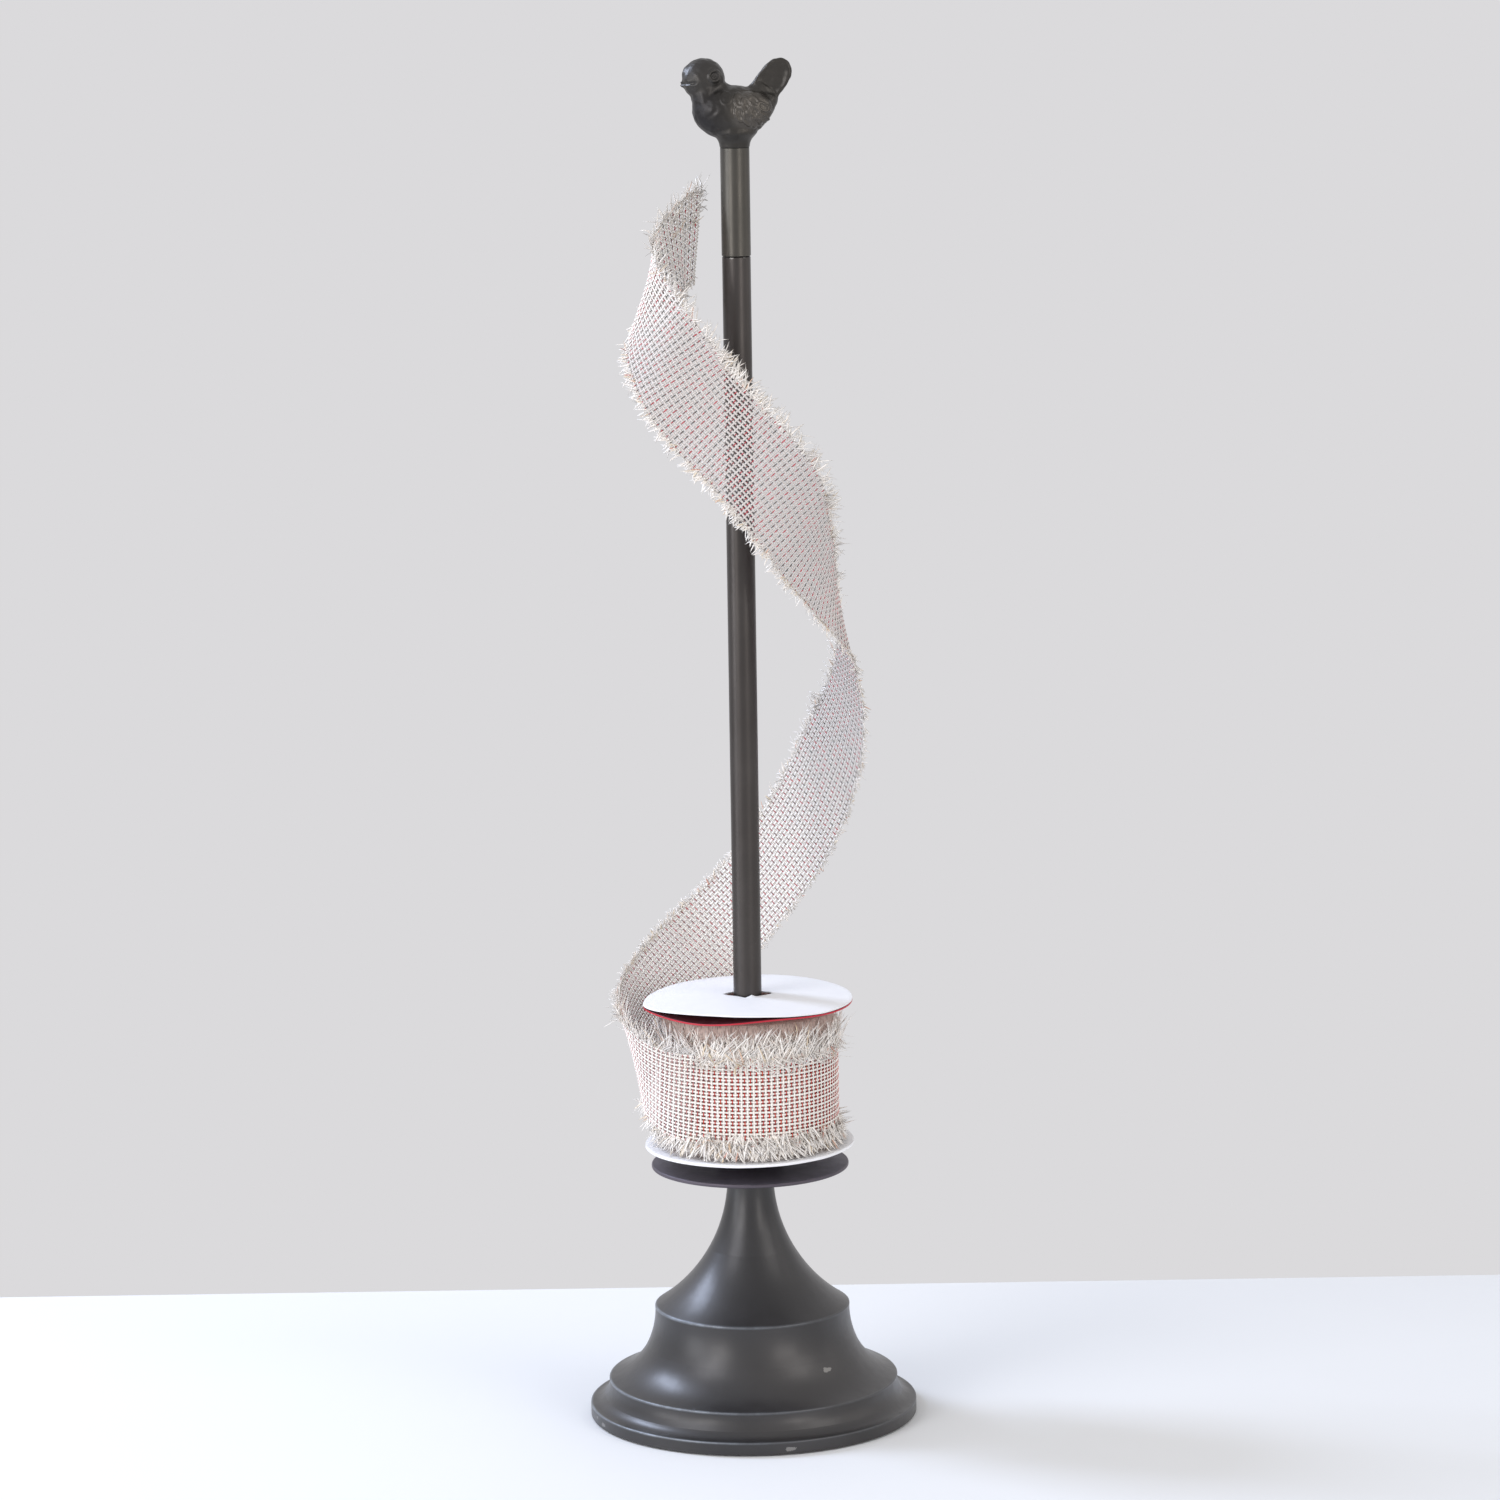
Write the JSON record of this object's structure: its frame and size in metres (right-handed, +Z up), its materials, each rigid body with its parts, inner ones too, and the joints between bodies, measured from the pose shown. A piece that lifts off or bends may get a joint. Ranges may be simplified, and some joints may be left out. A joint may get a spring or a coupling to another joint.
{
  "type": "ribbon spool holder",
  "caption": "Counter-top ribbon spool holder: weighted pedestal, tube post, screw-off bird finial and a turning spool of open-weave ribbon.",
  "frame": {"origin": "centre of the round base on the floor, at the underside of the felt pad", "axes": "+Z up along the post, -Y towards the viewer of the picture, the bird faces -X"},
  "size_m": [0.149, 0.149, 0.6174],
  "materials": {
    "graphite_paint": "satin",
    "grey_iron": "as cast",
    "grey_felt": "matt",
    "zinc_steel": "zinc plated",
    "kraft_board": "matt",
    "white_card": "matt",
    "red_card": "matt",
    "woven_ribbon": "open weave"
  },
  "bodies": {
    "stand": {"base_shell": "graphite_paint", "ballast": "grey_iron", "felt_pad": "grey_felt", "tie_washer": "zinc_steel", "lock_washer": "zinc_steel", "tie_nut": "zinc_steel", "tie_rod": "zinc_steel", "spool_plate": "graphite_paint", "post_collar": "graphite_paint", "post_tube": "graphite_paint", "lower_plug": "zinc_steel", "upper_plug": "zinc_steel"},
    "spool": {"spool_core": "kraft_board", "bottom_flange_card": "white_card", "top_flange_card": "white_card", "top_flange_backing": "red_card", "ribbon_roll": "woven_ribbon", "ribbon_tail": "woven_ribbon"},
    "screw": {"finial_stud": "zinc_steel"},
    "finial": {"finial_sleeve": "graphite_paint", "sleeve_plug": "zinc_steel", "bird_finial": "graphite_paint"}
  },
  "joints": [
    {"name": "spool_spin", "type": "hinge", "parent": "stand", "child": "spool", "pos_m": [0, 0, 0.1248], "axis": [0, 0, 1], "continuous": true},
    {"name": "screw_rise", "type": "slide", "parent": "stand", "child": "screw", "axis": [0, 0, 1], "range_m": [0, 0.01]},
    {"name": "finial_unscrew", "type": "hinge", "parent": "screw", "child": "finial", "pos_m": [0, 0, 0.5286], "axis": [0, 0, 1], "range_deg": [0, 2880]}
  ],
  "couplings": [
    {"joint": "screw_rise", "follows": "finial_unscrew", "m_per_rad": 0.00019894}
  ]
}
